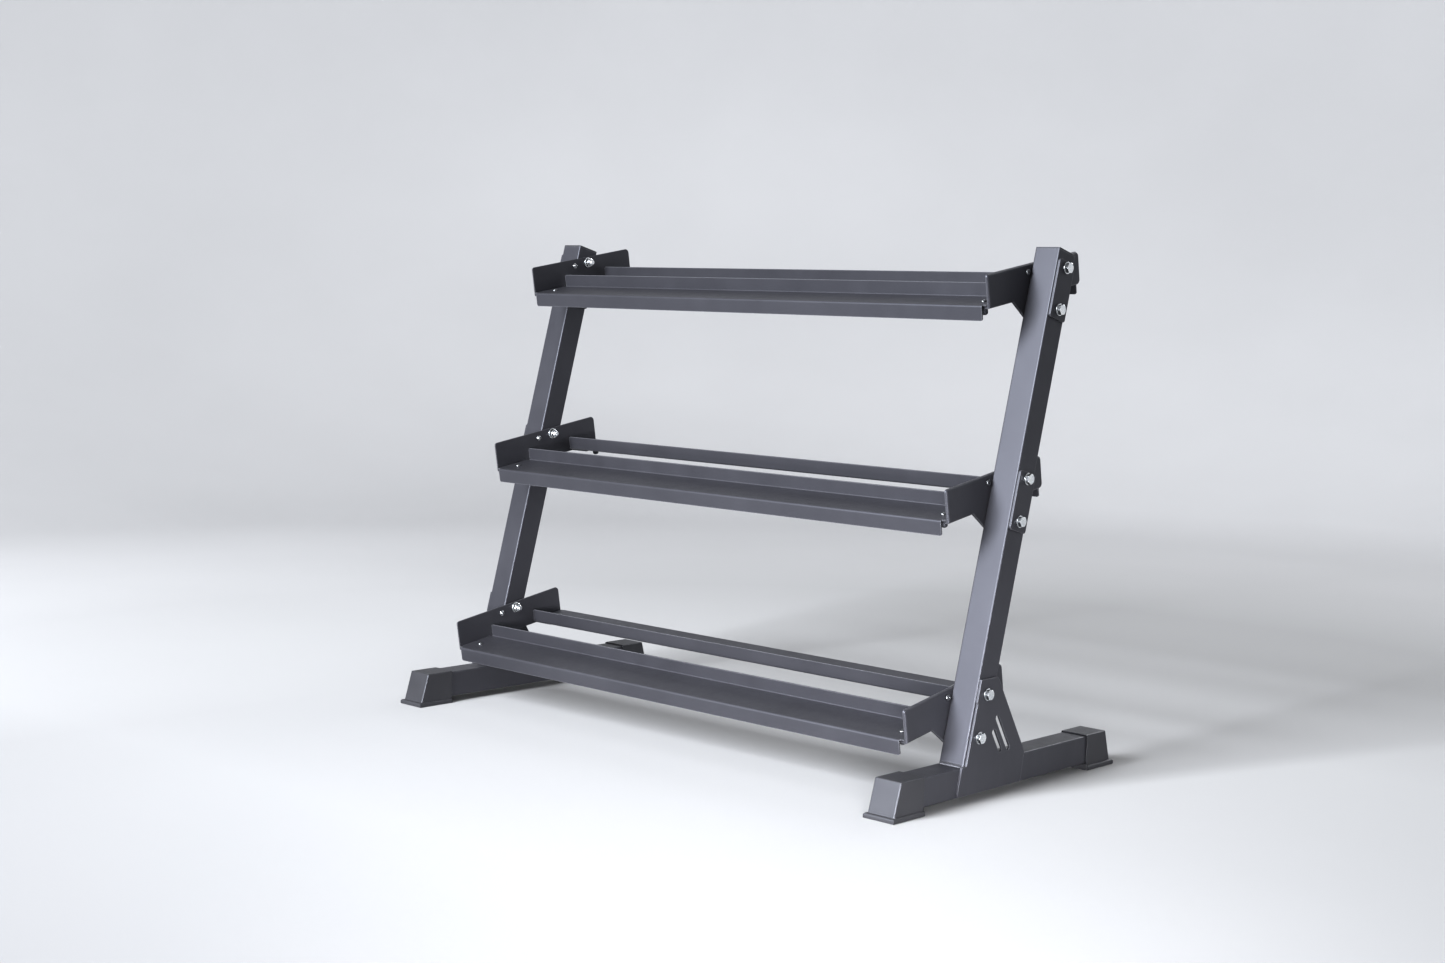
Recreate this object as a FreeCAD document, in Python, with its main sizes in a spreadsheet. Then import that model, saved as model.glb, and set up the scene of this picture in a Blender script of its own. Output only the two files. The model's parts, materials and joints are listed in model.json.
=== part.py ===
import FreeCAD, Part
import math
import os
import re
import Sketcher

# A three-tier steel rack for hex dumbbells. Millimetres, +Z up. The origin is on the floor, at the middle
# of the rack's width and of its feet's length. -Y is the front and +X is the right-hand side.
# Each side is a foot tube with a leaning upright welded on it. Six end plates, two to a tier, are bolted
# to the uprights and carry two Z-shaped sheet rails, with an open gap between them for the handles.

Vector = FreeCAD.Vector
X_AXIS = Vector(1, 0, 0)
Y_AXIS = Vector(0, 1, 0)
Z_AXIS = Vector(0, 0, 1)

doc = FreeCAD.newDocument("dumbbell_rack")

# ---------------------------------------------------------------------------------------------- sizes

SIZES = {
    # square tube frame
    "outer_width": 1246, "tube": 50, "tube_wall": 2.5, "tube_round": 2.5,
    "foot_gap": 12, "foot_half": 241, "lean": 14.6, "upright_y": -149, "upright_length": 961.4,
    "weld_leg": 5,
    # plastic plugs and foot caps
    "plug_lip": 3, "plug_depth": 14, "plug_ease": 0.3, "plug_edge": 1,
    "cap_wall": 2.5, "cap_top": 61, "cap_bottom": 80, "cap_socket": 55, "cap_edge": 2.5,
    "cap_foot_start": 1.5, "cap_foot_reach": 84, "cap_foot_side": 4, "cap_foot_high": 8.5,
    "cap_foot_edge": 3.5,
    "cap_mouth_gap": 1.3, "cap_mouth_deep": 6,
    # bolts through plate, upright and end plate, measured along the upright from the floor
    "bolt_low": 192.3, "tier_pitch": 371, "bolt_pair": 74, "bolt_hole": 11,
    # outer plates on the upper two tiers
    "plate": 4, "plate_inset": 2, "plate_above": 11.5, "plate_below": 91.5, "plate_round": 5,
    # gusset plates between foot and upright
    "gusset_top": 206.3, "gusset_top_rear": -45.8, "gusset_step": 165, "gusset_step_inset": 4,
    "gusset_rear": 40, "gusset_rear_high": 66, "gusset_heel": 31, "gusset_toe": -152.5,
    "gusset_shoulder": -140.5, "gusset_shoulder_high": 64, "gusset_round": 6,
    "slot_radius": 5, "slot_low_y": -10, "slot_low_z": 80, "slot_high_y": -44, "slot_high_z": 135,
    "slot_two_y": -33, "slot_two_z": 80, "slot_two_top_y": -53, "slot_two_top_z": 112,
    # shelves: along and square to the shelf's slope, from the lower front corner of its end plates
    "slope": 10, "shelf_ahead": 98.5, "shelf_drop": 105.3,
    "end_plate": 5, "end_long": 278.6, "end_high": 56, "end_low": -3, "end_round": 9,
    "tab_front": 71, "tab_toe_along": 105, "tab_toe_down": -37,
    "tab_heel_along": 138.9, "tab_heel_down": -53.3, "tab_root": 162,
    "bend_round": 4.5, "ledge_top": 2, "ledge_reach": 48, "ledge_start": 2, "ledge_end": 70,
    "upper_hole_along": 156.1, "upper_hole_up": 44.3, "lower_hole_along": 125.3, "lower_hole_up": -22.9,
    "side_screw_along": 117, "side_screw_up": 42.5,
    # sheet rails
    "sheet": 2.5, "rail_ahead": 5.4, "rail_deep": 88.4, "rail_lip": 27, "rail_half": 560,
    "tongue_half": 567, "tongue_inset": 4.5, "bend_outer": 4, "bend_inner": 1.5, "lip_round": 4,
    "rail_screw_x": 540, "rail_screw_along": 30, "screw_hole": 6.6,
    # fasteners
    "bolt_size": 10, "bolt_flats": 17, "bolt_head": 6.4, "bolt_out": 4,
    "washer_size": 21, "washer": 2, "washer_hole": 10.5, "nut": 9.5,
    "screw_size": 6, "screw_head": 11, "screw_head_high": 3.2, "screw_crown": 1.76, "screw_out": 1.5,
    "drive_flats": 4, "drive_low": 1.28, "bolt_tip": 1,
    "small_nut_flats": 10, "small_nut": 5,
    "cap_nut_flats": 13, "cap_nut": 15.5, "cap_nut_hex": 6.5, "cap_nut_round": 4.5, "cap_nut_deep": 9,
}

sheet = doc.addObject("Spreadsheet::Sheet", "dims")
for row, (alias, size) in enumerate(SIZES.items(), start=1):
    sheet.set(f"A{row}", alias)
    sheet.set(f"B{row}", str(size))
    sheet.setAlias(f"B{row}", alias)
doc.recompute()

COS_LEAN = "cos(lean * 1deg)"
SIN_LEAN = "sin(lean * 1deg)"
TAN_LEAN = "tan(lean * 1deg)"
FOOT_TOP = "(foot_gap + tube)"
SIDES = {"right": 1, "left": -1}
TIERS = {"bottom": 0, "middle": 1, "top": 2}


def bound(text):
    """The text of an expression with every size's name pointed at the sheet."""
    return re.sub(r"[a-z_]+", lambda m: f"dims.{m.group()}" if m.group() in SIZES else m.group(), str(text))


def value(text):
    """The number that an expression gives now."""
    return float(sheet.evalExpression(bound(text)))


def on_upright(behind, along):
    """World Y and Z of a point a distance behind the upright's front face and along it from the floor."""
    y = f"(upright_y + ({behind}) * {COS_LEAN} + ({along}) * {SIN_LEAN})"
    z = f"(({along}) * {COS_LEAN} - ({behind}) * {SIN_LEAN})"
    return y, z


def bolt_along(tier, upper=True):
    drop = "" if upper else " - bolt_pair"
    return f"(bolt_low + {TIERS[tier]} * tier_pitch{drop})"


def shelf_origin(tier):
    return on_upright("-shelf_ahead", f"{bolt_along(tier)} - shelf_drop")


# ------------------------------------------------------------------------------------- building tools

NEAR = 0.01
nodes = []


def place(body, x="0", y="0", z="0", axis=X_AXIS, angle="0"):
    # a tiny turn keeps the axis when the angle is nought
    body.Placement = FreeCAD.Placement(Vector(0, 0, 0), FreeCAD.Rotation(axis, value(angle) or 1e-9))
    for name, text in (("x", x), ("y", y), ("z", z)):
        body.setExpression(f"Placement.Base.{name}", bound(text))
    body.setExpression("Placement.Rotation.Angle", bound(angle))


def new_body(label):
    body = doc.addObject("PartDesign::Body", label)
    body.Label = label
    nodes.append(body)
    return body


def new_sketch(body, plane, name):
    sketch = body.newObject("Sketcher::SketchObject", f"{body.Name}_{name}")
    origin_plane = [f for f in body.Origin.OriginFeatures if f.Role == plane][0]
    sketch.AttachmentSupport = [(origin_plane, "")]
    sketch.MapMode = "FlatFace"
    return sketch


def constrain(sketch, name, text, *what):
    index = sketch.addConstraint(Sketcher.Constraint(*what, value(text)))
    sketch.renameConstraint(index, name)
    sketch.setExpression(f"Constraints.{name}", bound(text))


def polygon(body, plane, name, corners):
    """A closed outline whose corners are pairs of expressions."""
    sketch = new_sketch(body, plane, name)
    points = [Vector(value(a), value(b), 0) for a, b in corners]
    count = len(points)
    for i in range(count):
        sketch.addGeometry(Part.LineSegment(points[i], points[(i + 1) % count]), False)
    for i in range(count):
        sketch.addConstraint(Sketcher.Constraint("Coincident", i, 2, (i + 1) % count, 1))
    for i, (a, b) in enumerate(corners):
        constrain(sketch, f"across_{i}", a, "DistanceX", -1, 1, i, 1)
        constrain(sketch, f"up_{i}", b, "DistanceY", -1, 1, i, 1)
    return sketch


def rectangle(body, plane, name, left, right, bottom, top):
    return polygon(body, plane, name, [(left, bottom), (right, bottom), (right, top), (left, top)])


def circles(body, plane, name, centres, diameter):
    sketch = new_sketch(body, plane, name)
    for i, (a, b) in enumerate(centres):
        sketch.addGeometry(Part.Circle(Vector(value(a), value(b), 0), Z_AXIS, value(diameter) / 2), False)
        constrain(sketch, f"across_{i}", a, "DistanceX", -1, 1, i, 3)
        constrain(sketch, f"up_{i}", b, "DistanceY", -1, 1, i, 3)
        constrain(sketch, f"size_{i}", diameter, "Diameter", i)
    return sketch


def slot(body, plane, name, low, high, radius):
    """A round-ended slot between two centres."""
    sketch = new_sketch(body, plane, name)
    a = Vector(value(low[0]), value(low[1]), 0)
    b = Vector(value(high[0]), value(high[1]), 0)
    r = value(radius)
    turn = math.atan2(b.y - a.y, b.x - a.x)
    quarter = math.pi / 2
    side = Vector(math.sin(turn), -math.cos(turn), 0) * r
    arc_a = Part.ArcOfCircle(Part.Circle(a, Z_AXIS, r), turn + quarter, turn + 3 * quarter)
    arc_b = Part.ArcOfCircle(Part.Circle(b, Z_AXIS, r), turn - quarter, turn + quarter)
    for piece in (arc_a, Part.LineSegment(a + side, b + side), arc_b, Part.LineSegment(b - side, a - side)):
        sketch.addGeometry(piece, False)
    for first, second in ((0, 1), (1, 2), (2, 3), (3, 0)):
        sketch.addConstraint(Sketcher.Constraint("Tangent", first, 2, second, 1))
    sketch.addConstraint(Sketcher.Constraint("Equal", 0, 2))
    constrain(sketch, "radius", radius, "Radius", 0)
    constrain(sketch, "low_across", low[0], "DistanceX", -1, 1, 0, 3)
    constrain(sketch, "low_up", low[1], "DistanceY", -1, 1, 0, 3)
    constrain(sketch, "high_across", high[0], "DistanceX", -1, 1, 2, 3)
    constrain(sketch, "high_up", high[1], "DistanceY", -1, 1, 2, 3)
    return sketch


def pad(body, sketch, length, both_ways=False, backwards=False):
    feature = body.newObject("PartDesign::Pad", f"{sketch.Name}_pad")
    feature.Profile = sketch
    feature.SideType = "Symmetric" if both_ways else "One side"
    feature.Reversed = backwards
    feature.setExpression("Length", bound(length))
    doc.recompute()
    return feature


def pocket(body, sketch, length=None):
    """A cut both ways from the sketch, through everything unless it is given a length."""
    before = body.Shape.Volume
    feature = body.newObject("PartDesign::Pocket", f"{sketch.Name}_pocket")
    feature.Profile = sketch
    feature.SideType = "Symmetric"
    if length is None:
        feature.Type = "ThroughAll"
    else:
        feature.setExpression("Length", bound(length))
    doc.recompute()
    if body.Shape.Volume > before - 1:
        raise RuntimeError(f"{feature.Name} cuts nothing")
    return feature


def dress(body, kind, name, size, wanted):
    """A fillet or chamfer on the edges of the body's last feature that a test picks."""
    last = body.Tip
    edges = [f"Edge{i}" for i, edge in enumerate(last.Shape.Edges, start=1) if wanted(edge)]
    if not edges:
        raise RuntimeError(f"{body.Label} {name} finds no edges")
    feature = body.newObject(f"PartDesign::{kind}", f"{body.Name}_{name}")
    feature.Base = (last, edges)
    feature.setExpression("Radius" if kind == "Fillet" else "Size", bound(size))
    doc.recompute()
    return feature


def runs_along(edge, axis):
    if not isinstance(edge.Curve, (Part.Line, Part.LineSegment)):
        return False
    ends = edge.Vertexes[-1].Point - edge.Vertexes[0].Point
    return ends.Length > 1e-6 and abs(ends.normalize().dot(axis)) > 0.9999


def middle(edge):
    return edge.CenterOfMass


def cross_corner(*corners):
    """Picks the edges along X that pass through any of these local Y, Z corners."""
    spots = [(value(a), value(b)) for a, b in corners]

    def wanted(edge):
        if not runs_along(edge, X_AXIS):
            return False
        at = middle(edge)
        return any(abs(at.y - y) < NEAR and abs(at.z - z) < NEAR for y, z in spots)

    return wanted


# ---------------------------------------------------------------------------------- square tube frame

def foot_tube(side, sign):
    body = new_body(f"foot_tube_{side}")
    half = "tube / 2"
    outline = rectangle(body, "XZ_Plane", "outline", f"-{half}", half, "0", "tube")
    pad(body, outline, "2 * (foot_half + cap_socket)", both_ways=True)
    dress(body, "Fillet", "corners", "tube_round", lambda e: runs_along(e, Y_AXIS))
    bore = rectangle(body, "XZ_Plane", "bore", f"tube_wall - {half}", f"{half} - tube_wall",
                     "tube_wall", "tube - tube_wall")
    pocket(body, bore)
    place(body, x=f"{sign} * (outer_width - tube) / 2", z="foot_gap")


def upright(side, sign):
    body = new_body(f"upright_{side}")

    def mitre(behind):
        return f"({FOOT_TOP} + {behind} * {SIN_LEAN}) / {COS_LEAN}"

    outline = polygon(body, "YZ_Plane", "outline", [
        ("0", mitre("0")), ("tube", mitre("tube")), ("tube", "upright_length"), ("0", "upright_length")])
    pad(body, outline, "tube", both_ways=True)
    dress(body, "Fillet", "corners", "tube_round", lambda e: runs_along(e, Z_AXIS))
    bore = rectangle(body, "YZ_Plane", "bore", "tube_wall", "tube - tube_wall",
                     "0", "upright_length + tube")
    pocket(body, bore, "tube - 2 * tube_wall")
    holes = [("tube / 2", bolt_along(tier, upper)) for tier in TIERS for upper in (True, False)]
    pocket(body, circles(body, "YZ_Plane", "bolt_holes", holes, "bolt_hole"))
    place(body, x=f"{sign} * (outer_width - tube) / 2", y="upright_y", angle="-lean")


def upright_weld(side, sign, end):
    """The bead across the foot, in the corner that its top makes with a face of the upright."""
    body = new_body(f"weld_{end}_{side}")
    behind, outward = ("0", -1) if end == "front" else ("tube", 1)
    corner_y = f"(upright_y + {FOOT_TOP} * {TAN_LEAN} + {behind} / {COS_LEAN})"
    bead = polygon(body, "YZ_Plane", "bead", [
        (corner_y, FOOT_TOP),
        (f"{corner_y} + {outward} * weld_leg", FOOT_TOP),
        (f"{corner_y} + weld_leg * {SIN_LEAN}", f"{FOOT_TOP} + weld_leg * {COS_LEAN}")])
    pad(body, bead, "tube - 2 * tube_round", both_ways=True)
    place(body, x=f"{sign} * (outer_width - tube) / 2")


# ------------------------------------------------------------------------------- plastic end pieces

def upright_plug(side, sign):
    """The flat plug in the upright's open top."""
    body = new_body(f"upright_plug_{side}")
    lip = rectangle(body, "YZ_Plane", "lip", "0", "tube", "upright_length", "upright_length + plug_lip")
    pad(body, lip, "tube", both_ways=True)
    dress(body, "Fillet", "corners", "tube_round", lambda e: runs_along(e, Z_AXIS))
    top = value("upright_length + plug_lip") - NEAR
    dress(body, "Fillet", "rim", "plug_edge", lambda e: middle(e).z > top)
    stem = rectangle(body, "YZ_Plane", "stem", "tube_wall + plug_ease", "tube - tube_wall - plug_ease",
                     "upright_length - plug_depth", "upright_length + plug_lip / 2")
    pad(body, stem, "tube - 2 * (tube_wall + plug_ease)", both_ways=True)
    place(body, x=f"{sign} * (outer_width - tube) / 2", y="upright_y", angle="-lean")


def foot_cap(side, sign, end):
    """A tapered boot pressed over the end of a foot tube, with a skirt that stands on the floor."""
    body = new_body(f"foot_cap_{end}_{side}")
    top = f"({FOOT_TOP} + cap_wall)"
    boot = polygon(body, "YZ_Plane", "boot", [("0", "0"), ("cap_bottom", "0"), ("cap_top", top), ("0", top)])
    pad(body, boot, "tube + 2 * cap_wall", both_ways=True)
    face = value("cap_top") - 1
    dress(body, "Fillet", "edges", "cap_edge",
          lambda e: middle(e).z > 5 and (middle(e).y > face or runs_along(e, Y_AXIS)))
    half = "(tube / 2 + cap_wall + cap_foot_side)"
    skirt = rectangle(body, "XY_Plane", "skirt", f"-{half}", half, "cap_foot_start", "cap_foot_reach")
    pad(body, skirt, "cap_foot_high")
    high = value("cap_foot_high")
    wide = value(half) - 0.5
    reach = value("cap_foot_reach") - 0.5
    dress(body, "Fillet", "skirt_edge", "cap_foot_edge",
          lambda e: abs(middle(e).z - high) < NEAR and (abs(middle(e).x) > wide or middle(e).y > reach))
    dress(body, "Chamfer", "skirt_sole", "plug_edge",
          lambda e: abs(middle(e).z) < NEAR and (abs(middle(e).x) > wide or middle(e).y > reach))
    socket = rectangle(body, "YZ_Plane", "socket", "-cap_wall", "cap_socket", "foot_gap", FOOT_TOP)
    pocket(body, socket, "tube")
    mouth = rectangle(body, "YZ_Plane", "mouth", "-cap_wall", "cap_mouth_deep",
                      "foot_gap - cap_mouth_gap", f"{FOOT_TOP} + cap_mouth_gap")
    pocket(body, mouth, "tube + 2 * cap_mouth_gap")
    front = end == "front"
    place(body, x=f"{sign} * (outer_width - tube) / 2", y="-foot_half" if front else "foot_half",
          axis=Z_AXIS, angle="180" if front else "0")


# -------------------------------------------------------------------------------- flat outer plates

def outer_plate(side, sign, tier):
    body = new_body(f"outer_plate_{tier}_{side}")
    left, right = "plate_inset", "tube - plate_inset"
    low, high = f"{bolt_along(tier)} - plate_below", f"{bolt_along(tier)} + plate_above"
    pad(body, rectangle(body, "YZ_Plane", "outline", left, right, low, high), "plate", backwards=sign < 0)
    dress(body, "Fillet", "corners", "plate_round",
          cross_corner((left, low), (right, low), (left, high), (right, high)))
    holes = [("tube / 2", bolt_along(tier, upper)) for upper in (True, False)]
    pocket(body, circles(body, "YZ_Plane", "bolt_holes", holes, "bolt_hole"))
    place(body, x=f"{sign} * outer_width / 2", y="upright_y", angle="-lean")


def gusset_plate(side, sign):
    """The big plate over the outer faces of the foot tube and the upright."""
    body = new_body(f"gusset_plate_{side}")

    def beside_front(inset, high):
        return f"(upright_y + ({high}) * {TAN_LEAN} + {inset} / {COS_LEAN})", high

    top_rear = ("gusset_top_rear", "gusset_top")
    rear = ("gusset_rear", "gusset_rear_high")
    heel = ("gusset_heel", "foot_gap + plate_inset")
    toe = ("gusset_toe", "foot_gap + plate_inset")
    shoulder = ("gusset_shoulder", "gusset_shoulder_high")
    outline = polygon(body, "YZ_Plane", "outline", [
        beside_front("plate_inset", "gusset_top"), top_rear, rear, heel, toe, shoulder,
        beside_front("gusset_step_inset", "gusset_shoulder_high"),
        beside_front("gusset_step_inset", "gusset_step"),
        beside_front("plate_inset", "(gusset_step + gusset_step_inset)")])
    pad(body, outline, "plate", backwards=sign < 0)
    dress(body, "Fillet", "corners", "gusset_round", cross_corner(top_rear, rear, heel, toe))
    pocket(body, slot(body, "YZ_Plane", "long_slot", ("slot_low_y", "slot_low_z"),
                      ("slot_high_y", "slot_high_z"), "slot_radius"))
    pocket(body, slot(body, "YZ_Plane", "short_slot", ("slot_two_y", "slot_two_z"),
                      ("slot_two_top_y", "slot_two_top_z"), "slot_radius"))
    holes = [on_upright("tube / 2", bolt_along("bottom", upper)) for upper in (True, False)]
    pocket(body, circles(body, "YZ_Plane", "bolt_holes", holes, "bolt_hole"))
    place(body, x=f"{sign} * outer_width / 2")


# -------------------------------------------------------------------------------------------- shelves

def end_plate(side, sign, tier):
    """A sloping side plate with a bolting tab down the upright and two ledges bent in under the rails."""
    body = new_body(f"end_plate_{tier}_{side}")
    front_top, rear_top = ("0", "end_high"), ("end_long", "end_high")
    front_low, rear_low = ("0", "end_low"), ("end_long", "end_low")
    toe, heel = ("tab_toe_along", "tab_toe_down"), ("tab_heel_along", "tab_heel_down")
    outline = polygon(body, "YZ_Plane", "outline", [
        front_low, ("tab_front", "end_low"), toe, heel, ("tab_root", "end_low"), rear_low, rear_top, front_top])
    pad(body, outline, "end_plate", backwards=sign > 0)
    dress(body, "Fillet", "rear_corners", "end_round", cross_corner(rear_top, rear_low))
    dress(body, "Fillet", "front_corner", "plate_round", cross_corner(front_top, toe, heel))
    low = value("end_low")
    root = value("tab_root")
    dress(body, "Fillet", "bend", "bend_round",
          lambda e: runs_along(e, Y_AXIS) and abs(middle(e).z - low) < NEAR and abs(middle(e).x) < NEAR)
    for name, start, end in (("front", "ledge_start", "ledge_end"),
                             ("rear", "end_long - ledge_end", "end_long - ledge_start - end_round")):
        ledge = rectangle(body, "YZ_Plane", f"{name}_ledge", start, end, "end_low", "ledge_top")
        pad(body, ledge, "ledge_reach - bend_round", backwards=sign > 0)
        ledge.AttachmentOffset = FreeCAD.Placement(Vector(0, 0, -sign * value("bend_round")),
                                                   FreeCAD.Rotation())
        ledge.setExpression("AttachmentOffset.Base.z", bound(f"-{sign} * bend_round"))
        doc.recompute()
    holes = [("upper_hole_along", "upper_hole_up"), ("lower_hole_along", "lower_hole_up")]
    pocket(body, circles(body, "YZ_Plane", "bolt_holes", holes, "bolt_hole"))
    screw = [("side_screw_along", "side_screw_up")]
    pocket(body, circles(body, "YZ_Plane", "side_screw_hole", screw, "screw_hole"))
    inward = f"-{sign} * (outer_width / 2 - tube - rail_screw_x)"
    rail_holes = [(inward, "rail_screw_along"), (inward, "end_long - rail_screw_along")]
    pocket(body, circles(body, "XY_Plane", "rail_screw_holes", rail_holes, "screw_hole"))
    y, z = shelf_origin(tier)
    place(body, x=f"{sign} * (outer_width / 2 - tube)", y=y, z=z, angle="slope")


def rail(tier, end):
    """A Z-shaped sheet rail: outer lip turned down, flange for the dumbbell heads, inner lip turned up."""
    body = new_body(f"rail_{end}_{tier}")

    def along(text):
        return text if end == "front" else f"(end_long - ({text}))"

    top = "(ledge_top + sheet)"
    outer, inner = "-rail_ahead", "(rail_deep - rail_ahead)"
    profile = [
        (outer, top), (outer, f"{top} - rail_lip"), (f"{outer} + sheet", f"{top} - rail_lip"),
        (f"{outer} + sheet", "ledge_top"), (inner, "ledge_top"), (inner, f"ledge_top + rail_lip"),
        (f"{inner} - sheet", f"ledge_top + rail_lip"), (f"{inner} - sheet", top)]
    profile = [(along(a), b) for a, b in profile]
    pad(body, polygon(body, "YZ_Plane", "profile", profile), "2 * rail_half", both_ways=True)
    dress(body, "Fillet", "outer_bends", "bend_outer", cross_corner(profile[0], profile[4]))
    dress(body, "Fillet", "inner_bends", "bend_inner", cross_corner(profile[3], profile[7]))
    lip_low = value(f"{top} - rail_lip")
    lip_high = value("ledge_top + rail_lip")
    end_x = value("rail_half")

    def lip_corner(edge):
        at = middle(edge)
        at_lip = abs(at.z - lip_low) < NEAR or abs(at.z - lip_high) < NEAR
        return at_lip and abs(abs(at.x) - end_x) < NEAR

    dress(body, "Fillet", "lip_corners", "lip_round", lip_corner)
    tongue = rectangle(body, "YZ_Plane", "tongue", along("tongue_inset - rail_ahead"),
                       along(f"{inner} - tongue_inset"), "ledge_top", top)
    pad(body, tongue, "2 * tongue_half", both_ways=True)
    holes = [(f"{sign} * rail_screw_x", along("rail_screw_along")) for sign in SIDES.values()]
    pocket(body, circles(body, "XY_Plane", "screw_holes", holes, "screw_hole"))
    y, z = shelf_origin(tier)
    place(body, y=y, z=z, angle="slope")


# ----------------------------------------------------------------------------------------- fasteners
# Identical fasteners share one node, as a group of separate solids. Each is made along +Z from its
# bearing face and turned into place.

# proportions of a hexagon to its width across flats, and of a lock nut's hexagon to its height
CORNER_REACH = 0.58
CONE_TOP = 0.46
COLLAR = 0.43
CAP = 0.47
CONE_SPREAD = 1.2
HEXAGON_PART = 0.72


def hexagon(flats, height, start=0.0):
    radius = flats / math.sqrt(3)
    points = [Vector(radius * math.cos(math.radians(60 * i)), radius * math.sin(math.radians(60 * i)), start)
              for i in range(7)]
    return Part.Face(Part.makePolygon(points)).extrude(Vector(0, 0, height))


def hex_head(flats, height):
    """A hexagon whose outer corners are turned off by a cone."""
    cone = Part.makeCone(CORNER_REACH * flats + CONE_SPREAD * height, CONE_TOP * flats, height)
    return hexagon(flats, height).common(cone)


def hex_bolt(grip):
    size = value("bolt_size")
    shank = Part.makeCylinder(size / 2, grip, Vector(0, 0, -grip))
    taper = value("bolt_tip")
    tip = Part.makeCone(size / 2 - taper, size / 2, taper, Vector(0, 0, -grip - taper))
    return hex_head(value("bolt_flats"), value("bolt_head")).fuse(shank).fuse(tip).removeSplitter()


def ring(outside, inside, height):
    return Part.makeCylinder(outside / 2, height).cut(Part.makeCylinder(inside / 2, height))


def hex_nut(flats, bore, height):
    """A lock nut: a hexagon with a turned collar."""
    body = hex_head(flats, height * HEXAGON_PART)
    collar = Part.makeCylinder(flats * COLLAR, height)
    return body.fuse(collar).cut(Part.makeCylinder(bore / 2, height)).removeSplitter()


def cap_nut():
    """A hexagon nut with a closed round cap over the screw's end."""
    flats, height = value("cap_nut_flats"), value("cap_nut")
    cap = Part.makeCylinder(flats * CAP, height)
    rim = [e for e in cap.Edges if abs(middle(e).z - height) < NEAR and e.isClosed()]
    cap = cap.makeFillet(value("cap_nut_round"), rim)
    bore = Part.makeCylinder(value("screw_size") / 2, value("cap_nut_deep"))
    return hex_head(flats, value("cap_nut_hex")).fuse(cap).cut(bore).removeSplitter()


def pan_screw(grip):
    size = value("screw_size")
    head = Part.makeCylinder(value("screw_head") / 2, value("screw_head_high"))
    rim = [e for e in head.Edges if abs(middle(e).z - value("screw_head_high")) < NEAR and e.isClosed()]
    head = head.makeFillet(value("screw_crown"), rim)
    drive = hexagon(value("drive_flats"), value("screw_head_high"), value("drive_low"))
    return head.cut(drive).fuse(Part.makeCylinder(size / 2, grip, Vector(0, 0, -grip))).removeSplitter()


def group(label, shape, spots):
    """One node of separate copies, each a bearing point and the direction its head or face looks."""
    copies = []
    for point, facing in spots:
        copy = shape.copy()
        copy.Placement = FreeCAD.Placement(point, FreeCAD.Rotation(Z_AXIS, facing))
        copies.append(copy)
    feature = doc.addObject("Part::Feature", label)
    feature.Label = label
    feature.Shape = Part.makeCompound(copies)
    feature.Placement = FreeCAD.Placement(Vector(0, 0, 0), FreeCAD.Rotation())
    nodes.append(feature)


def frame_spots(distance, outward):
    """Points on the axes of the frame bolts, a distance from the rack's middle plane."""
    spots = []
    for sign in SIDES.values():
        for tier in TIERS:
            for upper in (True, False):
                y, z = on_upright("tube / 2", bolt_along(tier, upper))
                point = Vector(sign * value(distance), value(y), value(z))
                spots.append((point, X_AXIS * (sign if outward else -sign)))
    return spots


def on_shelf(tier, along, up):
    y, z = shelf_origin(tier)
    turn = math.radians(value("slope"))
    a, b = value(along), value(up)
    return value(y) + a * math.cos(turn) - b * math.sin(turn), value(z) + a * math.sin(turn) + b * math.cos(turn)


def rail_spots(up, looking_up):
    turn = math.radians(value("slope"))
    facing = Vector(0, -math.sin(turn), math.cos(turn)) * (1 if looking_up else -1)
    spots = []
    for sign in SIDES.values():
        for tier in TIERS:
            for along in ("rail_screw_along", "end_long - rail_screw_along"):
                y, z = on_shelf(tier, along, up)
                spots.append((Vector(sign * value("rail_screw_x"), y, z), facing))
    return spots


def side_screw_spots(distance, outward):
    spots = []
    for sign in SIDES.values():
        for tier in TIERS:
            y, z = on_shelf(tier, "side_screw_along", "side_screw_up")
            spots.append((Vector(sign * value(distance), y, z), X_AXIS * (sign if outward else -sign)))
    return spots


def fasteners():
    outside = "outer_width / 2 + plate"
    inside = "outer_width / 2 - tube - end_plate"
    grip = "plate + tube + end_plate + 2 * washer + nut + bolt_out"
    washer = ring(value("washer_size"), value("washer_hole"), value("washer"))
    nut = hex_nut(value("bolt_flats"), value("bolt_size"), value("nut"))
    group("frame_bolts", hex_bolt(value(grip)), frame_spots(f"{outside} + washer", True))
    group("frame_washers_outer", washer, frame_spots(outside, True))
    group("frame_washers_inner", washer, frame_spots(inside, False))
    group("frame_lock_nuts", nut, frame_spots(f"{inside} - washer", False))

    rail_grip = value("sheet + ledge_top - end_low + cap_nut_deep - screw_out")
    group("rail_screws", pan_screw(rail_grip), rail_spots("ledge_top + sheet", True))
    group("rail_screw_nuts", cap_nut(), rail_spots("end_low", False))
    small_nut = hex_nut(value("small_nut_flats"), value("screw_size"), value("small_nut"))
    side_grip = value("end_plate + small_nut + screw_out")
    group("side_screws", pan_screw(side_grip), side_screw_spots("outer_width / 2 - tube", True))
    group("side_screw_nuts", small_nut, side_screw_spots(inside, False))


# ------------------------------------------------------------------------------------- whole rack

for side, sign in SIDES.items():
    foot_tube(side, sign)
    upright(side, sign)
    upright_plug(side, sign)
    gusset_plate(side, sign)
    for end in ("front", "rear"):
        upright_weld(side, sign, end)
        foot_cap(side, sign, end)
    for tier in ("middle", "top"):
        outer_plate(side, sign, tier)
    for tier in TIERS:
        end_plate(side, sign, tier)
for tier in TIERS:
    for end in ("front", "rear"):
        rail(tier, end)
fasteners()
doc.recompute()

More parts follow.
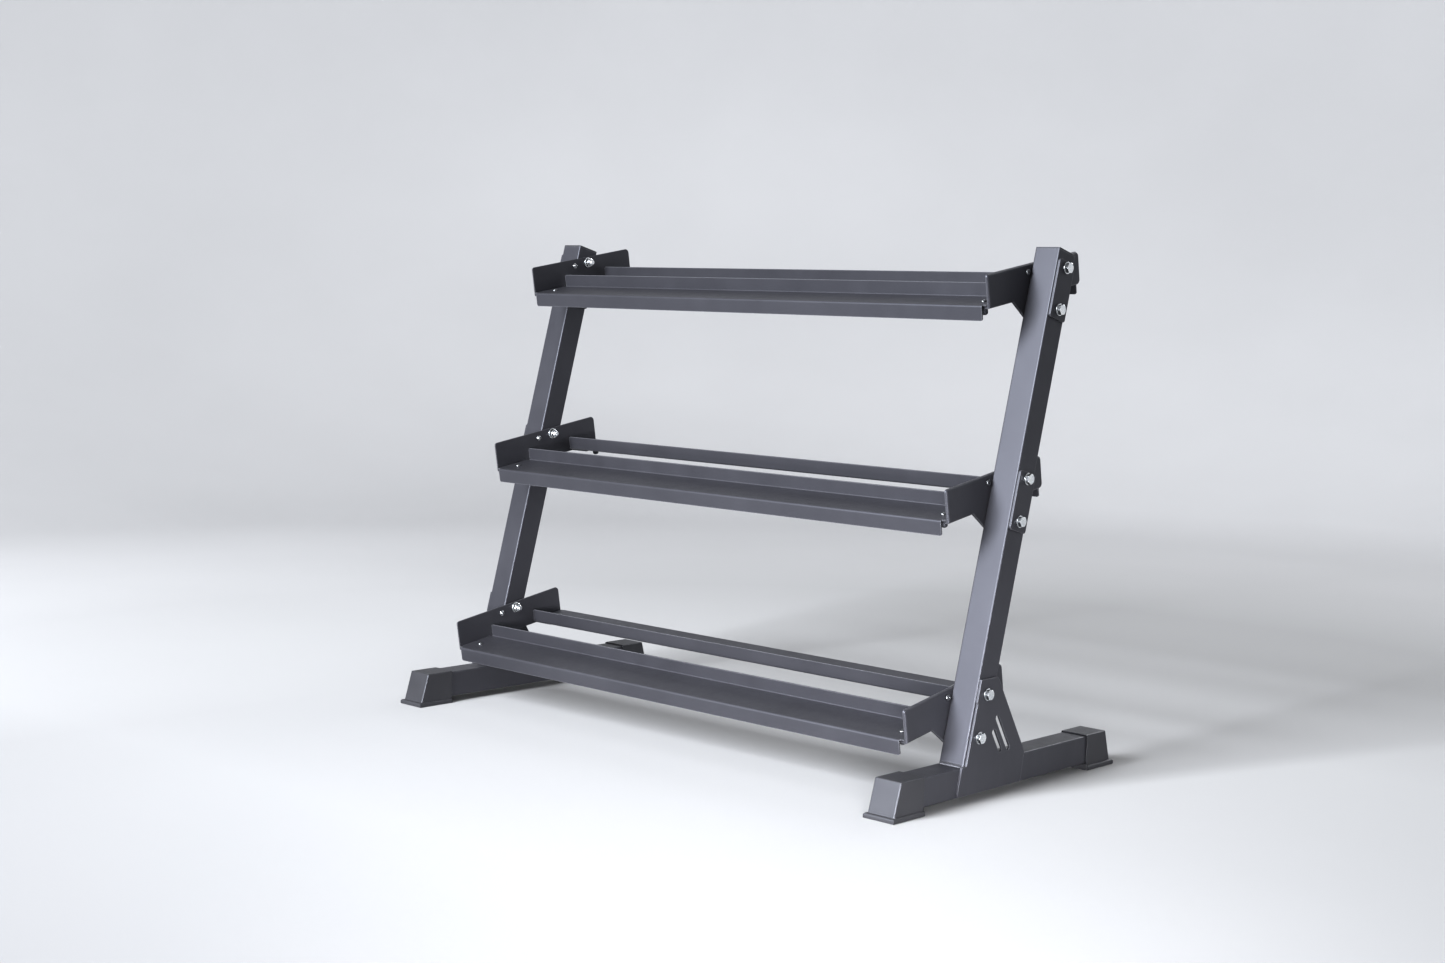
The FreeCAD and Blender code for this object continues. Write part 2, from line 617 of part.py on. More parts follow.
for item in doc.Objects:
    if "Invalid" in item.State or "Error" in item.State:
        raise RuntimeError(f"{item.Label} failed: {item.State}")
for node in nodes:
    if node.Shape.isNull() or not node.Shape.isValid():
        raise RuntimeError(f"{node.Label} has no valid shape")
    if node.TypeId == "PartDesign::Body" and len(node.Shape.Solids) != 1:
        raise RuntimeError(f"{node.Label} is not one solid")

os.makedirs("parts", exist_ok=True)
for node in nodes:
    node.Shape.exportStep(f"parts/{node.Label}.step")
print(f"{len(nodes)} nodes written")
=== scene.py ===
import json
import math
import random

import bmesh
import bpy
import numpy as np
from mathutils import Matrix, Vector, noise


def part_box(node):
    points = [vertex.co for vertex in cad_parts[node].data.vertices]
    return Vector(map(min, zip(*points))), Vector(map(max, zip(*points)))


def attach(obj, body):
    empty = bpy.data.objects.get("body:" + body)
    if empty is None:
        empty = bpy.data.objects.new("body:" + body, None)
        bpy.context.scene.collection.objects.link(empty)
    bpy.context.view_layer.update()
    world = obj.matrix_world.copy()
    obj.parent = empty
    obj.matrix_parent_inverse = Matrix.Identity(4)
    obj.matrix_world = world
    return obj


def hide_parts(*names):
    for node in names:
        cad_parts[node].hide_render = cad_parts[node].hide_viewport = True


# Looks of a three-tier steel dumbbell rack: textured powder coat, zinc fasteners and moulded plastic
# ends, on a pale studio floor. Metres, +Z up, -Y is the rack's front and +X its right-hand side.

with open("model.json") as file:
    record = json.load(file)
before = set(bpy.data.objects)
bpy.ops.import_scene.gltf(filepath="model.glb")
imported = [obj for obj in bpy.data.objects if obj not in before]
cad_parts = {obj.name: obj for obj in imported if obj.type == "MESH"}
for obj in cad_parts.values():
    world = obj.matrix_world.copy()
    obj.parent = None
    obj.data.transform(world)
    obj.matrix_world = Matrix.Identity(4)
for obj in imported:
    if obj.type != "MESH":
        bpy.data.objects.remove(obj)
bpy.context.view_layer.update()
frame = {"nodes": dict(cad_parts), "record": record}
nodes = frame["nodes"]

SHELF_SLOPE = math.radians(10)
UPRIGHT_LEAN = math.radians(14.6)
SHELF_UP = (0.0, -math.sin(SHELF_SLOPE), math.cos(SHELF_SLOPE))
SHELF_DOWN = (0.0, math.sin(SHELF_SLOPE), -math.cos(SHELF_SLOPE))

# ------------------------------------------------------------------------------------------- camera

FOCAL = 50.55
SENSOR = 36
FARTHEST = 100
EYE = Vector((2.5759, -2.8552, 0.8367))
AZIMUTH = math.radians(42.732)
PITCH = math.radians(5.2535)
ROLL = 0.0258


def make_camera():
    level = Vector((math.cos(AZIMUTH), math.sin(AZIMUTH), 0))
    ahead = Vector((-math.sin(AZIMUTH) * math.cos(PITCH), math.cos(AZIMUTH) * math.cos(PITCH),
                    -math.sin(PITCH)))
    upward = level.cross(ahead)
    right = level * math.cos(ROLL) + upward * math.sin(ROLL)
    up = upward * math.cos(ROLL) - level * math.sin(ROLL)
    data = bpy.data.cameras.new("camera")
    data.lens = FOCAL
    data.sensor_width = SENSOR
    data.clip_end = FARTHEST
    camera = bpy.data.objects.new("camera", data)
    bpy.context.scene.collection.objects.link(camera)
    turn = Matrix((right, up, -ahead)).transposed()
    camera.matrix_world = Matrix.Translation(EYE) @ turn.to_4x4()
    bpy.context.scene.camera = camera


make_camera()

# ---------------------------------------------------------------------------------------- materials


class Graph:
    """A material's node tree, built from short calls."""

    def __init__(self, name):
        self.material = bpy.data.materials.new(name)
        self.material.use_nodes = True
        self.tree = self.material.node_tree
        self.shader = self.tree.nodes["Principled BSDF"]
        self.place = self.add("ShaderNodeTexCoord").outputs["Object"]

    def add(self, kind, inputs=None, **settings):
        made = self.tree.nodes.new(kind)
        for name, setting in settings.items():
            setattr(made, name, setting)
        for name, given in (inputs or {}).items():
            self.feed(made.inputs[name], given)
        return made

    def feed(self, socket, given):
        if isinstance(given, bpy.types.NodeSocket):
            self.tree.links.new(given, socket)
        else:
            socket.default_value = given

    def noise(self, scale, detail=2.0, rough=0.5, stretch=None):
        place = self.place
        if stretch:
            place = self.add("ShaderNodeMapping", {"Vector": place, "Scale": stretch}).outputs[0]
        made = self.add("ShaderNodeTexNoise", {"Vector": place, "Scale": scale, "Detail": detail,
                                               "Roughness": rough})
        return made.outputs["Fac"]

    def cells(self, scale):
        made = self.add("ShaderNodeTexVoronoi", {"Vector": self.place, "Scale": scale})
        return made.outputs["Distance"]

    def span(self, value, low, high, to_low=0.0, to_high=1.0):
        made = self.add("ShaderNodeMapRange", {"Value": value, "From Min": low, "From Max": high,
                                               "To Min": to_low, "To Max": to_high})
        return made.outputs[0]

    def maths(self, what, a, b=0.0):
        made = self.add("ShaderNodeMath", {0: a, 1: b}, operation=what)
        return made.outputs[0]

    def mix(self, amount, a, b):
        made = self.add("ShaderNodeMix", data_type="RGBA")
        self.feed(made.inputs["Factor"], amount)
        self.feed(made.inputs[6], a)
        self.feed(made.inputs[7], b)
        return made.outputs[2]

    def cover(self, under, mask, amount, over):
        """Lays a colour over another where the mask is 1, at most by the amount."""
        return self.mix(self.maths("MULTIPLY", mask, amount), under, over)

    def bump(self, height, distance, strength, under):
        made = self.add("ShaderNodeBump", {"Height": height, "Distance": distance,
                                           "Strength": strength, "Normal": under})
        return made.outputs[0]

    def parts(self, vector):
        """The X, Y and Z of a vector."""
        return self.add("ShaderNodeSeparateXYZ", {0: vector}).outputs

    def normal(self):
        return self.add("ShaderNodeNewGeometry").outputs["Normal"]

    def edges(self, radius, gain):
        """0 on open faces, rising to 1 along their corners, and the normal rounded over those."""
        rounded = self.add("ShaderNodeBevel", {"Radius": radius}, samples=6).outputs[0]
        plain = self.add("ShaderNodeNewGeometry").outputs["True Normal"]
        along = self.add("ShaderNodeVectorMath", {0: rounded, 1: plain}, operation="DOT_PRODUCT")
        return self.span(along.outputs["Value"], 1.0, 1.0 - gain), rounded

    def wear(self, edge, scale, low, high):
        """Breaks the mask of the corners up into rubbed patches."""
        return self.maths("MULTIPLY", edge, self.span(self.noise(scale, 4.0, 0.7), low, high))

    def dust(self, scale, low):
        """Specks on the faces that look up."""
        upward = self.span(self.parts(self.normal())["Z"], 0.5, 0.98)
        return self.maths("MULTIPLY", upward, self.span(self.noise(scale, 5.0, 0.75), low, 0.8))

    def painted_wall_shade(self, low, high):
        """1 on the walls round the left-right axis, such as a bolt's flats, 0 on faces across it: where
        the zinc's painted shade goes.
        """
        sideways = self.parts(self.normal())["X"]
        return self.span(self.maths("ABSOLUTE", sideways), high, low)

    def finish(self, **inputs):
        for name, given in inputs.items():
            self.feed(self.shader.inputs[name.replace("_", " ")], given)
        return self.material


def grey(red, green, blue):
    return (red, green, blue, 1.0)


def powder_coat():
    """Fine-textured matt black, with a painted highlight along the corners, rubbed spots and dust."""
    dark, light = grey(0.0202, 0.0201, 0.0232), grey(0.0258, 0.0257, 0.0294)
    g = Graph("black_powder_coat")
    grain = g.noise(1500, 3.0, 0.62)
    peel = g.noise(330, 2.0, 0.5)
    cloud = g.noise(7.0, 4.0, 0.6)
    smear = g.noise(38, 3.0, 0.55, stretch=(1.0, 1.0, 0.35))
    speck = g.span(g.cells(620), 0.05, 0.16, 1.0, 0.0)
    edge, rounded = g.edges(0.0009, 0.22)
    # A wider corner mask for a painted highlight: paler colour that stands in for the light the corners
    # catch.
    painted_edge_highlight = g.edges(0.0028, 0.5)[0]
    worn = g.wear(edge, 160, 0.42, 0.66)
    dust = g.dust(420, 0.48)
    colour = g.mix(g.span(cloud, 0.3, 0.7), dark, light)
    colour = g.cover(colour, speck, 0.3, grey(0.055, 0.056, 0.061))
    # Painted highlight along the corners.
    colour = g.cover(colour, painted_edge_highlight, 0.7, grey(0.17, 0.172, 0.182))
    colour = g.cover(colour, worn, 0.45, grey(0.088, 0.09, 0.096))
    colour = g.cover(colour, dust, 0.3, grey(0.11, 0.11, 0.112))
    rough = g.maths("ADD", g.span(smear, 0.3, 0.7, 0.42, 0.48), g.span(grain, 0.3, 0.7, -0.03, 0.04))
    rough = g.maths("SUBTRACT", rough, g.maths("MULTIPLY", worn, 0.08))
    normal = g.bump(peel, 0.00010, 0.35, g.bump(grain, 0.00006, 0.55, rounded))
    return g.finish(Base_Color=colour, Roughness=rough, Normal=normal, IOR=1.54,
                    Specular_Tint=grey(0.86, 0.885, 1.0))


def zinc(name, dark, light, painted_wall_shade, rough_low, rough_high):
    """Cloudy zinc plating, with brighter edges, and walls made darker than the faces by painted shade."""
    g = Graph(name)
    grain = g.noise(900, 3.0, 0.6)
    cloud = g.noise(120, 3.0, 0.6)
    tint = g.noise(60, 2.0, 0.5)
    edge, rounded = g.edges(0.0004, 0.3)
    colour = g.mix(g.span(tint, 0.35, 0.65), dark, light)
    colour = g.cover(colour, edge, 0.3, light)
    colour = g.mix(g.span(cloud, 0.58, 0.85, 0.0, 0.2), colour, dark)
    # Painted shade: the walls round the axis, such as a bolt's flats, are darkened as if they faced away
    # from the light.
    colour = g.mix(g.painted_wall_shade(0.3, 0.75), colour, painted_wall_shade)
    rough = g.maths("ADD", g.span(cloud, 0.3, 0.7, rough_low, rough_high),
                    g.span(grain, 0.3, 0.7, -0.02, 0.03))
    normal = g.bump(grain, 0.00002, 0.4, rounded)
    return g.finish(Base_Color=colour, Roughness=rough, Normal=normal, Metallic=1.0)


def moulded(name, dark, light, rough_low, rough_high, index):
    """Spark-textured moulded plastic, with scuffed edges and dust."""
    g = Graph(name)
    spark = g.noise(2300, 2.0, 0.55)
    cloud = g.noise(14, 3.0, 0.55)
    edge, rounded = g.edges(0.0006, 0.25)
    scuff = g.wear(edge, 210, 0.45, 0.7)
    dust = g.dust(380, 0.5)
    colour = g.mix(g.span(cloud, 0.3, 0.7), dark, light)
    colour = g.cover(colour, scuff, 0.4, grey(0.1, 0.1, 0.105))
    colour = g.cover(colour, dust, 0.3, grey(0.12, 0.12, 0.122))
    rough = g.maths("ADD", g.span(cloud, 0.3, 0.7, rough_low, rough_high),
                    g.span(spark, 0.3, 0.7, -0.03, 0.03))
    normal = g.bump(spark, 0.00005, 0.5, rounded)
    return g.finish(Base_Color=colour, Roughness=rough, Normal=normal, IOR=index,
                    Specular_Tint=grey(0.86, 0.9, 1.0))


MATERIALS = {
    "black_powder_coat": powder_coat(),
    # Each zinc: its dark and light tones, the painted shade of its walls, and its roughness range.
    "zinc_plate": zinc("zinc_plate", grey(0.74, 0.77, 0.79), grey(0.86, 0.87, 0.87),
                       grey(0.30, 0.31, 0.32), 0.22, 0.30),
    "zinc_dull": zinc("zinc_dull", grey(0.20, 0.205, 0.215), grey(0.27, 0.275, 0.28),
                      grey(0.16, 0.165, 0.17), 0.34, 0.44),
    "foot_plastic": moulded("foot_plastic", grey(0.0245, 0.0243, 0.0265), grey(0.0300, 0.0298, 0.0322),
                            0.42, 0.50, 1.45),
    "plug_plastic": moulded("plug_plastic", grey(0.016, 0.016, 0.018), grey(0.022, 0.022, 0.024),
                            0.42, 0.52, 1.5),
    "nylon": moulded("nylon", grey(0.3, 0.32, 0.36), grey(0.42, 0.44, 0.47), 0.38, 0.46, 1.5),
}

for part in frame["record"]["subparts"]:
    data = nodes[part["node"]].data
    data.materials.clear()
    data.materials.append(MATERIALS[part["material_slot"]])

# ------------------------------------------------------------------------------------- mesh helpers

SAME_CORNER = 1e-6     # CAD vertices nearer than this are one
SAME_POINT = 1e-7      # and a piece's own
CORNER_TRIM = 0.975    # a hexagon's corners are rounded off at this part of their reach
UNCUT = 1.0            # a cone too wide to cut a hexagon


def islands(node):
    """The vertices of each separate solid of a CAD node."""
    mesh = bmesh.new()
    mesh.from_mesh(nodes[node].data)
    bmesh.ops.remove_doubles(mesh, verts=mesh.verts, dist=SAME_CORNER)
    seen, found = set(), []
    for start in mesh.verts:
        if start.index in seen:
            continue
        seen.add(start.index)
        group, front = [], [start]
        while front:
            vertex = front.pop()
            group.append(tuple(vertex.co))
            for edge in vertex.link_edges:
                other = edge.other_vert(vertex)
                if other.index not in seen:
                    seen.add(other.index)
                    front.append(other)
        found.append(np.array(group))
    mesh.free()
    return found


def outward(points):
    """The way along X from the rack's middle to the side that the points are on."""
    return (1.0 if points[:, 0].mean() > 0 else -1.0, 0.0, 0.0)


def inward(points):
    """The opposite way, back to the middle."""
    return (-outward(points)[0], 0.0, 0.0)


def solids(node, axis_of):
    """Each solid of a node: its axis, its middle across that, and its two ends along it."""
    for points in islands(node):
        axis = axis_of(points)
        reach = points @ np.array(axis)
        across = points - np.outer(reach, axis)
        centre = (across.min(0) + across.max(0)) / 2
        yield Vector(axis), Vector(centre), float(reach.min()), float(reach.max())


def facing(point, direction, spin=0.0):
    """Puts +Z of a shape along a direction, from a point, after a spin round it."""
    turn = direction.to_track_quat("Z", "Y").to_matrix().to_4x4()
    return Matrix.Translation(point) @ turn @ Matrix.Rotation(spin, 4, "Z")


def rings_mesh(mesh, rings, at, material=0, close_start=True, close_end=True):
    """Skins a stack of rings, each a list of points of one length, into a bmesh."""
    rows = [[mesh.verts.new(at @ Vector(p)) for p in ring] for ring in rings]
    count = len(rows[0])
    faces = []
    for low, high in zip(rows, rows[1:]):
        for i in range(count):
            j = (i + 1) % count
            faces.append(mesh.faces.new((low[i], low[j], high[j], high[i])))
    if close_start:
        faces.append(mesh.faces.new(list(reversed(rows[0]))))
    if close_end:
        faces.append(mesh.faces.new(rows[-1]))
    for face in faces:
        face.material_index = material
        face.smooth = True


def hoop_mesh(mesh, rings, at, material=0):
    """Skins rings into a hoop that closes on its first ring."""
    rings_mesh(mesh, rings + [rings[0]], at, material, close_start=False, close_end=False)


def lathe(profile, count=48):
    """Rings round Z from radius and height pairs."""
    turns = [2 * math.pi * i / count for i in range(count)]
    return [[(r * math.cos(a), r * math.sin(a), z) for a in turns] for r, z in profile]


def hex_rings(flats, levels, count=72):
    """Rings of a hexagon that a cone cuts. A level is a height and the cone's radius there."""
    corner = flats / math.sqrt(3) * CORNER_TRIM
    rings = []
    for z, cone in levels:
        ring = []
        for i in range(count):
            a = 2 * math.pi * i / count
            off = (a + math.pi / 6) % (math.pi / 3) - math.pi / 6
            r = min(flats / 2 / math.cos(off), corner, cone)
            ring.append((r * math.cos(a), r * math.sin(a), z))
        rings.append(ring)
    return rings


def slant(low, high, first, last, steps):
    """Levels of a cone between two heights, from its first radius to its last."""
    return [(low + (high - low) * k / steps, first + (last - first) * k / steps)
            for k in range(steps + 1)]


def piece(name, mesh, slot, replaced, materials=None, crease=35):
    """Makes a piece of the rack from a bmesh, in place of the CAD nodes that it stands for."""
    bmesh.ops.remove_doubles(mesh, verts=mesh.verts, dist=SAME_POINT)
    bmesh.ops.recalc_face_normals(mesh, faces=mesh.faces)
    data = bpy.data.meshes.new(name)
    mesh.to_mesh(data)
    mesh.free()
    made = bpy.data.objects.new(name, data)
    bpy.context.scene.collection.objects.link(made)
    for key in materials or [slot]:
        data.materials.append(MATERIALS[key])
    data.set_sharp_from_angle(angle=math.radians(crease))
    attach(made, "root")
    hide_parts(*replaced)


# ---------------------------------------------------------------------------------------- fasteners

BOLT_SIZE = 0.010
BOLT_FLATS = 0.017
BOLT_HEAD = 0.0064
BOLT_PITCH = 0.0015
BOLT_THREAD = 0.016
BOLT_SHANK = 0.012
WASHER_SIZE = 0.021
WASHER_HOLE = 0.0105
LOCK_NUT = 0.0095

SCREW_SIZE = 0.006
SCREW_FACE = 0.011
SCREW_HEAD = 0.0032
SCREW_SOCKET = 0.004
SCREW_PITCH = 0.001
SCREW_THREAD = 0.008
SMALL_NUT_FLATS = 0.010
SMALL_NUT = 0.005
CAP_NUT_FLATS = 0.013
CAP_NUT_HEX = 0.0065

FACE_REACH = 0.95      # the round face that a hexagon's cone leaves, against half its flats
BOLT_SEED = 11         # for the turns at which the hexagons come to rest
SCREW_SEED = 23


def hex_head(mesh, at):
    """A bolt's hexagon head on a thin round bearing face, with a coned top."""
    bearing = BOLT_FLATS / 2 * 0.96
    crown = BOLT_FLATS / 2 * FACE_REACH
    corner = BOLT_FLATS / math.sqrt(3)
    bearing_high, chamfer, ease, lip = 0.0004, 0.0009, 0.0002, 0.0004
    levels = [(0.0, bearing), (bearing_high, bearing), (bearing_high, corner)]
    levels += slant(BOLT_HEAD - chamfer, BOLT_HEAD, corner + ease, crown + ease, 5)
    rings = hex_rings(BOLT_FLATS, levels)
    rings += lathe([(crown - lip, BOLT_HEAD), (crown / 2, BOLT_HEAD)], len(rings[0]))
    rings_mesh(mesh, rings, at)


def threaded_end(mesh, tip, out, length, size, pitch):
    """A screw thread that ends in a chamfered tip, where out points back along the screw."""
    count, steps_a_turn = 40, 6
    tip_inset, tip_slope = 0.0009, 0.9
    deep = pitch * 0.55
    steps = round(length / pitch * steps_a_turn)
    rings = []
    for k in range(steps + 1):
        z = length * k / steps
        outermost = size / 2 - tip_inset + (length - z) * tip_slope
        ring = []
        for i in range(count):
            a = 2 * math.pi * i / count
            phase = (z / pitch - i / count) % 1.0
            r = min(size / 2 - deep * (1 - abs(2 * phase - 1)), outermost)
            ring.append((r * math.cos(a), r * math.sin(a), z))
        rings.append(ring)
    about = Matrix.Rotation(math.pi, 4, "X") @ Matrix.Translation((0, 0, -length))
    rings_mesh(mesh, rings, facing(tip, out) @ about)


def washer(mesh, at, thick):
    """A stamped washer, with a rolled edge on its upper side."""
    lip = 0.0004
    outer, inner = WASHER_SIZE / 2, WASHER_HOLE / 2
    profile = [(inner, 0.0), (outer - lip * 0.4, 0.0), (outer, lip * 0.5), (outer, thick - lip),
               (outer - lip * 0.35, thick - lip * 0.3), (outer - lip, thick), (inner + lip, thick),
               (inner, thick - lip)]
    hoop_mesh(mesh, lathe(profile, 64), at)


def lock_nut(mesh, at, flats, bore, high):
    """A hexagon nut, coned at both ends, with a round collar that holds a nylon ring."""
    half = flats / 2
    corner = flats / math.sqrt(3)
    face = half * FACE_REACH
    body, chamfer = high * 0.66, 0.0012
    levels = slant(0.0, chamfer, face, corner, 4) + slant(body - chamfer, body, corner, face, 4)
    rings = hex_rings(flats, levels)
    collar = [(half * 0.88, body), (half * 0.87, high - 0.0012), (half * 0.82, high - 0.0003),
              (half * 0.74, high), (half * 0.7, high - 0.0005)]
    rings += lathe(collar, len(rings[0]))
    rings_mesh(mesh, rings, at)
    mouth = bore / 2 - 0.0002
    nylon = [(half * 0.7, high - 0.0016), (half * 0.7, high - 0.0005), (half * 0.66, high - 0.0002),
             (bore / 2 + 0.0001, high - 0.0002), (mouth, high - 0.0008), (mouth, high - 0.0016)]
    hoop_mesh(mesh, lathe(nylon), at, material=1)


def cap_nut(mesh, at, high):
    """A hexagon nut with a closed round cap, from its bearing face to the cap's crown."""
    corner = CAP_NUT_FLATS / math.sqrt(3)
    cap = CAP_NUT_FLATS * 0.47
    chamfer, ease, round_off = 0.0008, 0.0002, 0.0045
    levels = [(0.0, corner)]
    levels += slant(CAP_NUT_HEX - chamfer, CAP_NUT_HEX, corner, cap + ease, 4)
    rings = hex_rings(CAP_NUT_FLATS, levels)
    crown = [(cap, CAP_NUT_HEX + ease)]
    crown += [(cap - round_off + round_off * math.cos(a), high - round_off + round_off * math.sin(a))
              for a in (math.pi / 2 * k / 8 for k in range(9))]
    rings += lathe(crown, len(rings[0]))
    rings_mesh(mesh, rings, at)


def socket_screw(mesh, at):
    """A low button head with a hexagon socket, from its bearing face up."""
    outer, high = SCREW_FACE / 2, SCREW_HEAD
    count, mouth = 48, 0.00015
    crown = [(outer * 0.97, 0.0), (outer, 0.0004), (outer, high * 0.35), (outer * 0.97, high * 0.55),
             (outer * 0.88, high * 0.76), (outer * 0.74, high * 0.92), (outer * 0.56, high)]
    rings = lathe(crown, count)
    rings += hex_rings(SCREW_SOCKET + mouth * 2, [(high, UNCUT)], count)
    rings += hex_rings(SCREW_SOCKET, [(high - 0.0002, UNCUT), (high * 0.42, UNCUT)], count)
    rings_mesh(mesh, rings, at)


def frame_bolts(rand):
    mesh = bmesh.new()
    radius = BOLT_SIZE / 2 - 0.0001
    for out, centre, low, high in solids("frame_bolts", outward):
        at = facing(centre + out * (high - BOLT_HEAD), out, rand.uniform(0, math.pi / 3))
        hex_head(mesh, at)
        rings_mesh(mesh, lathe([(radius, -BOLT_SHANK), (radius, 0.0)], 32), at)
        threaded_end(mesh, centre + out * low, out, BOLT_THREAD, BOLT_SIZE, BOLT_PITCH)
    piece("hex_bolts", mesh, "zinc_plate", ["frame_bolts"])


def frame_washers(name, node, axis_of):
    mesh = bmesh.new()
    for out, centre, low, high in solids(node, axis_of):
        washer(mesh, facing(centre + out * low, out), high - low)
    piece(name, mesh, "zinc_plate", [node])


def lock_nuts(name, node, flats, bore, high, rand):
    mesh = bmesh.new()
    for out, centre, low, _ in solids(node, inward):
        at = facing(centre + out * low, out, rand.uniform(0, math.pi / 3))
        lock_nut(mesh, at, flats, bore, high)
    piece(name, mesh, "zinc_plate", [node], ["zinc_plate", "nylon"])


def small_screws(node, axis_of, rand):
    mesh = bmesh.new()
    for out, centre, low, high in solids(node, axis_of):
        at = facing(centre + out * (high - SCREW_HEAD), out, rand.uniform(0, math.pi / 3))
        socket_screw(mesh, at)
        threaded_end(mesh, centre + out * low, out, SCREW_THREAD, SCREW_SIZE, SCREW_PITCH)
    piece(f"detailed_{node}", mesh, "zinc_plate", [node], ["zinc_dull"])


def cap_nuts(node, rand):
    mesh = bmesh.new()
    for out, centre, low, high in solids(node, lambda points: SHELF_DOWN):
        at = facing(centre + out * low, out, rand.uniform(0, math.pi / 3))
        cap_nut(mesh, at, high - low)
    piece(f"detailed_{node}", mesh, "black_powder_coat", [node])


def fasteners():
    rand = random.Random(BOLT_SEED)
    frame_bolts(rand)
    frame_washers("washers_outer", "frame_washers_outer", outward)
    frame_washers("washers_inner", "frame_washers_inner", inward)
    lock_nuts("lock_nuts", "frame_lock_nuts", BOLT_FLATS, BOLT_SIZE, LOCK_NUT, rand)
    rand = random.Random(SCREW_SEED)
    small_screws("rail_screws", lambda points: SHELF_UP, rand)
    cap_nuts("rail_screw_nuts", rand)
    small_screws("side_screws", outward, rand)
    lock_nuts("detailed_side_screw_nuts", "side_screw_nuts", SMALL_NUT_FLATS, SCREW_SIZE, SMALL_NUT, rand)


fasteners()

# -------------------------------------------------------------------------------------------- welds


def weld_bead(side, end):
    """A rippled fillet bead across the foot, in the corner between its top and the upright."""
    node = f"weld_{end}_{side}"
    low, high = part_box(node)
    leg = (high.z - low.z) / math.cos(UPRIGHT_LEAN)
    away = -1.0 if end == "front" else 1.0
    corner_y = low.y + leg if end == "front" else high.y - leg
    lean = Vector((0.0, math.sin(UPRIGHT_LEAN), math.cos(UPRIGHT_LEAN)))
    root = Vector((0, -away * 0.0008, -0.0006))
    steps, arc, ripples = 150, 9, 21
    rings = []
    for k in range(steps + 1):
        t = k / steps
        x = low.x + (high.x - low.x) * t
        wave = t * 2 * math.pi * ripples
        fade = min(1.0, math.sin(math.pi * t) * 6 + 0.25)
        wander = 0.06 * noise.noise(Vector((x * 90, corner_y * 50, 3.0)))
        size = leg * (0.86 + wander) * (1.0 + 0.07 * math.sin(wave)) * fade
        corner = Vector((x, corner_y, low.z))
        foot = corner + Vector((0.0, away * size, 0.0))
        top = corner + lean * size
        ring = [corner + root]
        for i in range(arc):
            s = i / (arc - 1)
            swell = math.sin(math.pi * s)
            bulge = swell * size * 0.2
            ring.append(foot.lerp(top, s)
                        + Vector((swell * 0.0005 * math.cos(wave), away * bulge * 0.75, bulge * 0.62)))
        rings.append(ring)
    mesh = bmesh.new()
    rings_mesh(mesh, rings, Matrix.Identity(4))
    piece(f"bead_{end}_{side}", mesh, "black_powder_coat", [node], crease=80)


for side in ("left", "right"):
    for end in ("front", "rear"):
        weld_bead(side, end)

# ------------------------------------------------------------------------------- floor and lighting

FLOOR_FLAT = 3.6
FLOOR_BEND = 3.4
WALL_TOP = 5.2


def floor_finish():
    """Matt paint, darker towards the key light, so that the floor and wall look evenly pale."""
    g = Graph("studio_floor")
    cloud = g.noise(1.4, 3.0, 0.5)
    fine = g.noise(60, 3.0, 0.6)
    level = g.add("ShaderNodeVectorMath", {0: g.place, 1: (1.0, 1.0, 0.0)}, operation="MULTIPLY")
    radius = g.add("ShaderNodeVectorMath", {0: level.outputs[0]}, operation="LENGTH").outputs["Value"]
    place = g.parts(g.place)
    across, ahead, height = place["X"], place["Y"], place["Z"]
    colour = g.mix(g.span(ahead, -2.2, 0.6), grey(0.21, 0.21, 0.211), grey(0.375, 0.375, 0.376))
    colour = g.mix(g.span(radius, 2.0, 4.2), colour, grey(0.62, 0.62, 0.623))
    colour = g.mix(g.span(across, -0.8, -3.6), colour, grey(0.50, 0.50, 0.503))
    colour = g.mix(g.span(height, 0.2, 1.3), colour, grey(0.53, 0.53, 0.533))
    front = g.mix(g.span(height, 0.1, 1.2), grey(0.10, 0.10, 0.101), grey(0.36, 0.36, 0.362))
    colour = g.mix(g.span(ahead, -0.9, -3.4), colour, front)
    colour = g.mix(g.span(cloud, 0.3, 0.7, 0.0, 0.04), colour, grey(0.2, 0.2, 0.201))
    return g.finish(Base_Color=colour, Roughness=g.span(fine, 0.3, 0.7, 0.8, 0.9),
                    Specular_IOR_Level=0.0)


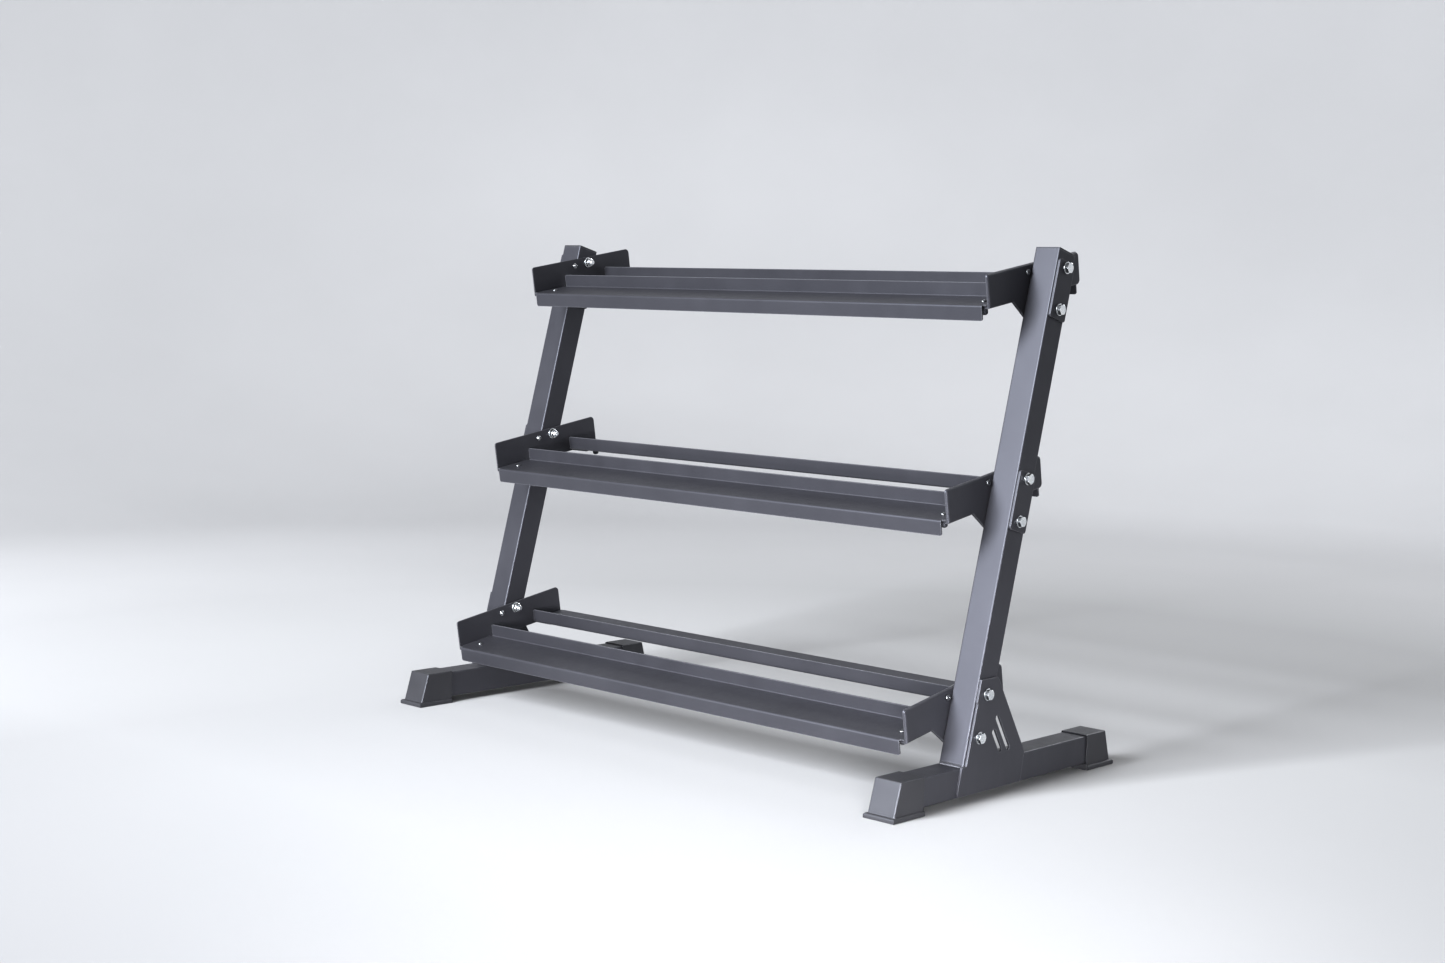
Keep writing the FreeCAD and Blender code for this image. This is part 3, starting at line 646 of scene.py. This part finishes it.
def studio():
    """A round pale cove: a flat floor that curves up into a low wall."""
    profile = [(0.02, 0.0), (1.2, 0.0), (2.4, 0.0), (FLOOR_FLAT, 0.0)]
    profile += [(FLOOR_FLAT + FLOOR_BEND * math.sin(a), FLOOR_BEND - FLOOR_BEND * math.cos(a))
                for a in (math.pi / 2 * k / 16 for k in range(1, 17))]
    profile.append((FLOOR_FLAT + FLOOR_BEND, WALL_TOP))
    mesh = bmesh.new()
    rings_mesh(mesh, lathe(profile, 128), Matrix.Identity(4), close_end=False)
    data = bpy.data.meshes.new("floor")
    mesh.to_mesh(data)
    mesh.free()
    data.materials.append(floor_finish())
    floor = bpy.data.objects.new("floor", data)
    bpy.context.scene.collection.objects.link(floor)


def softbox(name, place, target, wide, high, power, colour, spread=180):
    """A rectangular area light that points at a target and isn't seen itself."""
    data = bpy.data.lights.new(name, "AREA")
    data.shape = "RECTANGLE"
    data.size, data.size_y = wide, high
    data.energy = power
    data.color = colour
    data.spread = math.radians(spread)
    light = bpy.data.objects.new(name, data)
    bpy.context.scene.collection.objects.link(light)
    light.location = place
    light.rotation_mode = "QUATERNION"
    light.rotation_quaternion = (Vector(place) - Vector(target)).to_track_quat("Z", "Y")
    light.visible_camera = False


def lighting():
    """A big softbox in front, a weak one behind, and a little fill from low on the right."""
    world = bpy.data.worlds.new("studio_light")
    bpy.context.scene.world = world
    world.use_nodes = True
    background = world.node_tree.nodes["Background"]
    background.inputs["Color"].default_value = grey(0.975, 0.98, 1.0)
    background.inputs["Strength"].default_value = 0.60
    softbox("key", (-0.28, -4.9, 2.65), (0.1, 0.0, 0.45), 1.85, 3.1, 1280, (0.93, 0.955, 1.0))
    softbox("rear", (0.0, 4.6, 2.7), (0.0, 0.0, 0.5), 2.4, 2.4, 26, (0.97, 0.98, 1.0), 80)
    softbox("low_fill", (2.1, -2.2, 0.24), (0.5, -0.45, 0.0), 1.2, 0.4, 17, (0.98, 0.98, 1.0), 40)
    view = bpy.context.scene.view_settings
    view.view_transform = "Standard"
    view.gamma = 0.8


studio()
lighting()
